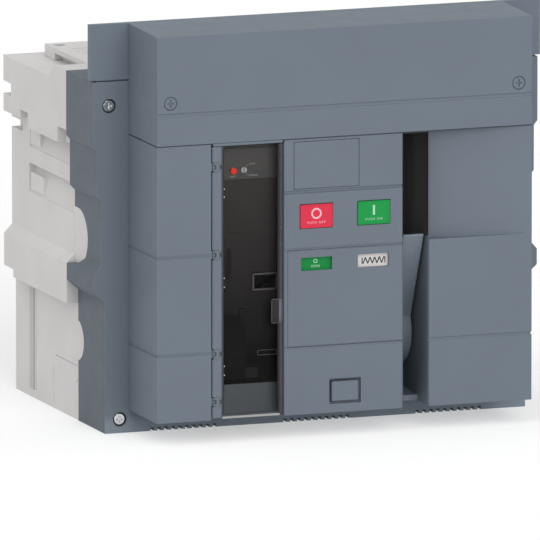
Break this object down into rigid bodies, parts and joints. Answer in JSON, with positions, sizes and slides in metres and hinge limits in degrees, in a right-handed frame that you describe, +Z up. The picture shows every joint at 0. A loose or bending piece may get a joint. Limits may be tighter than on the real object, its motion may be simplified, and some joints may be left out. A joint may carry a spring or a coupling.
{
  "type": "air circuit breaker",
  "caption": "Low-voltage air circuit breaker, fixed type, with hinged clear cover over the trip unit, push buttons, indicators and charging handle.",
  "frame": {"origin": "middle of the bottom of the whole breaker", "axes": "+X to the right seen from the front, +Y from the front to the rear, +Z up"},
  "size_m": [0.416, 0.308, 0.36],
  "materials": {
    "dark_plastic": "fine-textured moulded thermoset, dark blue-grey",
    "fascia_plastic": "fine-textured moulded thermoplastic, blue-grey",
    "housing_plastic": "moulded glass-filled thermoset, pale grey",
    "black_plastic": "matt black moulded plastic",
    "handle_plastic": "matt blue-grey moulded plastic",
    "smoked_window": "clear smoked polycarbonate",
    "display_glass": "black display window",
    "red_plastic": "satin red moulded plastic",
    "green_plastic": "satin green moulded plastic",
    "white_plastic": "satin white moulded plastic",
    "chromed_steel": "bright chromed steel",
    "zinc_plated_steel": "zinc plated steel",
    "silvered_copper": "silver plated copper",
    "link_resin": "red-brown insulating resin",
    "coil_winding": "varnished copper winding on a bobbin"
  },
  "bodies": {
    "base": {"base_moulding": "dark_plastic", "upper_plate": "fascia_plastic", "hood": "fascia_plastic", "left_panel": "fascia_plastic", "centre_panel": "fascia_plastic", "right_panel": "fascia_plastic", "blank_option_plate": "fascia_plastic", "hood_screw_left": "fascia_plastic", "hood_screw_right": "fascia_plastic", "rear_housing": "housing_plastic", "arc_chute_cover": "housing_plastic", "handle_pocket": "black_plastic", "trip_unit": "black_plastic", "test_port_plug": "black_plastic", "auxiliary_switch": "black_plastic", "current_transformer_left": "black_plastic", "current_transformer_centre": "black_plastic", "current_transformer_right": "black_plastic", "trip_display": "display_glass", "flange_screw_upper_left": "chromed_steel", "flange_screw_upper_right": "chromed_steel", "flange_screw_lower_left": "chromed_steel", "flange_screw_lower_right": "chromed_steel", "cover_hinge_pin": "zinc_plated_steel", "chute_cover_screw_left": "zinc_plated_steel", "chute_cover_screw_right": "zinc_plated_steel", "arc_chute_left": "zinc_plated_steel", "arc_chute_centre": "zinc_plated_steel", "arc_chute_right": "zinc_plated_steel", "mechanism_plate_left": "zinc_plated_steel", "mechanism_plate_right": "zinc_plated_steel", "closing_spring": "zinc_plated_steel", "charging_motor": "zinc_plated_steel", "upper_terminal_left": "silvered_copper", "lower_terminal_left": "silvered_copper", "upper_terminal_centre": "silvered_copper", "lower_terminal_centre": "silvered_copper", "upper_terminal_right": "silvered_copper", "lower_terminal_right": "silvered_copper", "opening_coil": "coil_winding", "closing_coil": "coil_winding"},
    "cover": {"cover_hinge_strip": "fascia_plastic", "cover_window": "smoked_window"},
    "off_button_body": {"off_button": "red_plastic"},
    "on_button_body": {"on_button": "green_plastic"},
    "reset_button_body": {"reset_button": "red_plastic"},
    "mode_selector_body": {"mode_selector": "white_plastic"},
    "contact_flag": {"contact_indicator": "green_plastic"},
    "spring_flag": {"spring_indicator": "white_plastic"},
    "padlock_slide": {"padlock_tab": "fascia_plastic"},
    "charging_lever": {"charging_handle": "handle_plastic", "handle_shaft": "zinc_plated_steel"},
    "pole_shaft_body": {"pole_shaft": "zinc_plated_steel"},
    "camshaft_body": {"camshaft": "zinc_plated_steel"},
    "contact_left": {"contact_arm_left": "silvered_copper"},
    "link_left": {"drive_link_left": "link_resin"},
    "contact_centre": {"contact_arm_centre": "silvered_copper"},
    "link_centre": {"drive_link_centre": "link_resin"},
    "contact_right": {"contact_arm_right": "silvered_copper"},
    "link_right": {"drive_link_right": "link_resin"}
  },
  "joints": [
    {"name": "cover_hinge", "type": "hinge", "parent": "base", "child": "cover", "pos_m": [-0.1195, -0.151, 0.1407], "axis": [0, 0, -1], "range_deg": [0, 105]},
    {"name": "off_push", "type": "slide", "parent": "base", "child": "off_button_body", "axis": [0, 1, 0], "range_m": [0, 0.004], "stiffness_N_per_m": 500, "springref_m": -0.003},
    {"name": "on_push", "type": "slide", "parent": "base", "child": "on_button_body", "axis": [0, 1, 0], "range_m": [0, 0.004], "stiffness_N_per_m": 500, "springref_m": -0.003},
    {"name": "reset_push", "type": "slide", "parent": "base", "child": "reset_button_body", "axis": [0, 1, 0], "range_m": [0, 0.002], "stiffness_N_per_m": 300, "springref_m": -0.002},
    {"name": "mode_turn", "type": "hinge", "parent": "base", "child": "mode_selector_body", "pos_m": [-0.089, -0.142, 0.2362], "axis": [0, 1, 0], "range_deg": [0, 70]},
    {"name": "padlock_pull", "type": "slide", "parent": "base", "child": "padlock_slide", "axis": [0, -1, 0], "range_m": [0, 0.02]},
    {"name": "charging_pull", "type": "hinge", "parent": "base", "child": "charging_lever", "pos_m": [0.0652, -0.086, 0.08], "axis": [1, 0, 0], "range_deg": [0, 65], "stiffness_Nm_per_rad": 0.6, "springref_deg": -45.84},
    {"name": "pole_shaft_turn", "type": "hinge", "parent": "base", "child": "pole_shaft_body", "pos_m": [0, -0.034, 0.11], "axis": [-1, 0, 0], "range_deg": [0, 42], "stiffness_Nm_per_rad": 2, "springref_deg": -40.11},
    {"name": "camshaft_turn", "type": "hinge", "parent": "base", "child": "camshaft_body", "pos_m": [0, -0.082, 0.16], "axis": [1, 0, 0], "range_deg": [0, 180], "deforming": ["closing_spring"]},
    {"name": "contact_flag_drop", "type": "slide", "parent": "base", "child": "contact_flag", "axis": [0, 0, -1], "range_m": [0, 0.013]},
    {"name": "spring_flag_drop", "type": "slide", "parent": "base", "child": "spring_flag", "axis": [0, 0, -1], "range_m": [0, 0.013]},
    {"name": "contact_left_turn", "type": "hinge", "parent": "base", "child": "contact_left", "pos_m": [-0.123, 0.084, 0.085], "axis": [-1, 0, 0], "range_deg": [0, 25.2]},
    {"name": "link_left_turn", "type": "hinge", "parent": "pole_shaft_body", "child": "link_left", "pos_m": [-0.123, -0.03792, 0.15483], "axis": [1, 0, 0], "range_deg": [0, 59.5]},
    {"name": "contact_centre_turn", "type": "hinge", "parent": "base", "child": "contact_centre", "pos_m": [0, 0.084, 0.085], "axis": [-1, 0, 0], "range_deg": [0, 25.2]},
    {"name": "link_centre_turn", "type": "hinge", "parent": "pole_shaft_body", "child": "link_centre", "pos_m": [0, -0.03792, 0.15483], "axis": [1, 0, 0], "range_deg": [0, 59.5]},
    {"name": "contact_right_turn", "type": "hinge", "parent": "base", "child": "contact_right", "pos_m": [0.123, 0.084, 0.085], "axis": [-1, 0, 0], "range_deg": [0, 25.2]},
    {"name": "link_right_turn", "type": "hinge", "parent": "pole_shaft_body", "child": "link_right", "pos_m": [0.123, -0.03792, 0.15483], "axis": [1, 0, 0], "range_deg": [0, 59.5]}
  ],
  "couplings": [
    {"joint": "contact_flag_drop", "follows": "pole_shaft_turn", "m_per_rad": 0.017462},
    {"joint": "spring_flag_drop", "follows": "camshaft_turn", "m_per_rad": 0.004074},
    {"joint": "contact_left_turn", "follows": "pole_shaft_turn", "ratio": 0.59524},
    {"joint": "link_left_turn", "follows": "pole_shaft_turn", "ratio": 1.4081},
    {"joint": "contact_centre_turn", "follows": "pole_shaft_turn", "ratio": 0.59524},
    {"joint": "link_centre_turn", "follows": "pole_shaft_turn", "ratio": 1.4081},
    {"joint": "contact_right_turn", "follows": "pole_shaft_turn", "ratio": 0.59524},
    {"joint": "link_right_turn", "follows": "pole_shaft_turn", "ratio": 1.4081}
  ]
}
